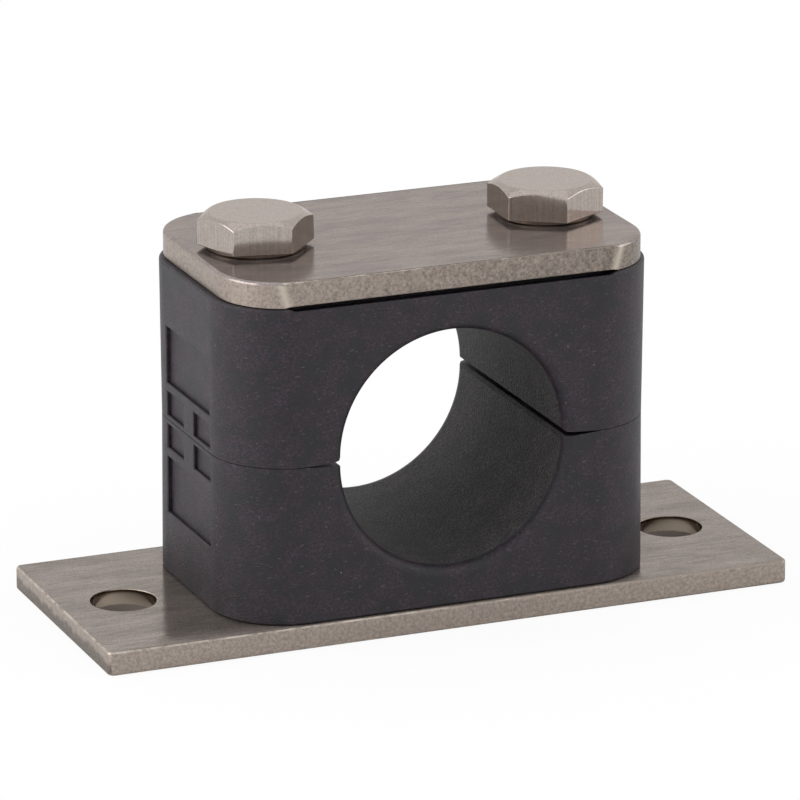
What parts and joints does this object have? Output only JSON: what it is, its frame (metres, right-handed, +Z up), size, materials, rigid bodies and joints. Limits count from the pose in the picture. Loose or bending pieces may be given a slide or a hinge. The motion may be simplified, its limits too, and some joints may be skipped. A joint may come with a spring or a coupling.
{
  "type": "hydraulic tube clamp",
  "caption": "Split plastic clamp block for a hydraulic tube, held between an elongated steel base plate and a steel cover plate by hexagon bolts.",
  "frame": {"origin": "centre of the weld plate's underside", "axes": "+X along the weld plate towards its right end, +Y along the tube away from the front face, +Z up"},
  "size_m": [0.0774, 0.03, 0.0436],
  "materials": {
    "weld_plate_steel": "pickled stainless sheet, satin",
    "cover_plate_steel": "pickled stainless sheet, satin",
    "bolt_steel": "cold-formed stainless steel, satin",
    "clamp_plastic": "injection-moulded black polypropylene, fine matte grain"
  },
  "bodies": {
    "base": {"weld_plate": "weld_plate_steel", "lower_clamp_half": "clamp_plastic"},
    "top": {"upper_clamp_half": "clamp_plastic", "cover_plate": "cover_plate_steel"},
    "left_bolt": {"hex_bolt_left": "bolt_steel"},
    "right_bolt": {"hex_bolt_right": "bolt_steel"}
  },
  "joints": [
    {"name": "top_lift", "type": "slide", "parent": "base", "child": "top", "axis": [0, 0, 1], "range_m": [0, 0.006]},
    {"name": "left_bolt_turn", "type": "hinge", "parent": "top", "child": "left_bolt", "pos_m": [-0.0165, 0, 0.0398], "axis": [0, 0, 1], "range_deg": [0, 2160]},
    {"name": "right_bolt_turn", "type": "hinge", "parent": "top", "child": "right_bolt", "pos_m": [0.0165, 0, 0.0398], "axis": [0, 0, 1], "range_deg": [0, 2160]}
  ],
  "couplings": [
    {"joint": "left_bolt_turn", "follows": "top_lift", "rad_per_m": 6283.2},
    {"joint": "right_bolt_turn", "follows": "top_lift", "rad_per_m": 6283.2}
  ]
}
